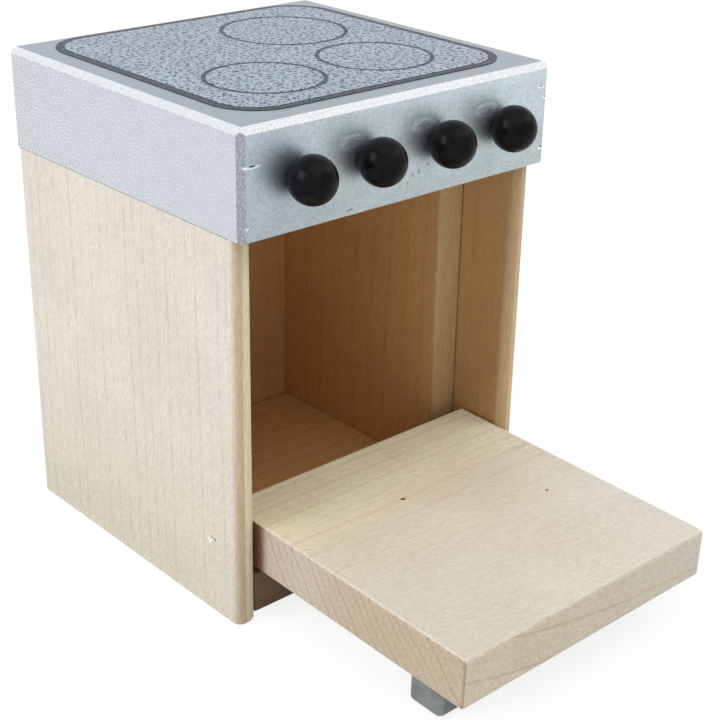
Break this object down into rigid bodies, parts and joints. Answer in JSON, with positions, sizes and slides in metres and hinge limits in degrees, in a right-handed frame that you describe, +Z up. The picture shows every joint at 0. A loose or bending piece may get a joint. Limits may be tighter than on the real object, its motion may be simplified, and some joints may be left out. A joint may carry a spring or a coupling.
{
  "type": "toy stove",
  "caption": "Dolls'-house stove of pale wood with a silver hob block, black ball knobs and a drop-down oven door that rests on its bar handle.",
  "frame": {"origin": "middle of the cabinet's footprint, on the surface that the stove stands on", "axes": "+Y from the front, where the door opens, to the back; +X to the right as seen from the front; +Z up"},
  "size_m": [0.07, 0.1151, 0.0906],
  "materials": {
    "pale_wood": "sanded, bare",
    "silver_paint": "satin silver paint over wood",
    "hob_film": "printed satin film",
    "black_lacquer": "black lacquer over wood",
    "dowel_wood": "bare dowel",
    "steel": "plain nail"
  },
  "bodies": {
    "cabinet": {"left_side_panel": "pale_wood", "right_side_panel": "pale_wood", "left_liner": "pale_wood", "right_liner": "pale_wood", "back_panel": "pale_wood", "oven_floor": "pale_wood", "plinth": "pale_wood", "hob_block": "silver_paint", "hob_print": "hob_film", "left_hinge_pin": "steel", "right_hinge_pin": "steel"},
    "door": {"door": "pale_wood", "door_handle": "silver_paint"},
    "knob_1": {"knob_1": "black_lacquer", "knob_peg_1": "dowel_wood"},
    "knob_2": {"knob_2": "black_lacquer", "knob_peg_2": "dowel_wood"},
    "knob_3": {"knob_3": "black_lacquer", "knob_peg_3": "dowel_wood"},
    "knob_4": {"knob_4": "black_lacquer", "knob_peg_4": "dowel_wood"}
  },
  "joints": [
    {"name": "door_hinge", "type": "hinge", "parent": "cabinet", "child": "door", "pos_m": [0, -0.02465, 0.01465], "axis": [-1, 0, 0], "range_deg": [0, 93]},
    {"name": "knob_1_turn", "type": "hinge", "parent": "cabinet", "child": "knob_1", "pos_m": [-0.0236, -0.034, 0.08125], "axis": [0, -1, 0], "continuous": true},
    {"name": "knob_2_turn", "type": "hinge", "parent": "cabinet", "child": "knob_2", "pos_m": [-0.0088, -0.034, 0.08125], "axis": [0, -1, 0], "continuous": true},
    {"name": "knob_3_turn", "type": "hinge", "parent": "cabinet", "child": "knob_3", "pos_m": [0.0071, -0.034, 0.08125], "axis": [0, -1, 0], "continuous": true},
    {"name": "knob_4_turn", "type": "hinge", "parent": "cabinet", "child": "knob_4", "pos_m": [0.0221, -0.034, 0.08125], "axis": [0, -1, 0], "continuous": true}
  ]
}
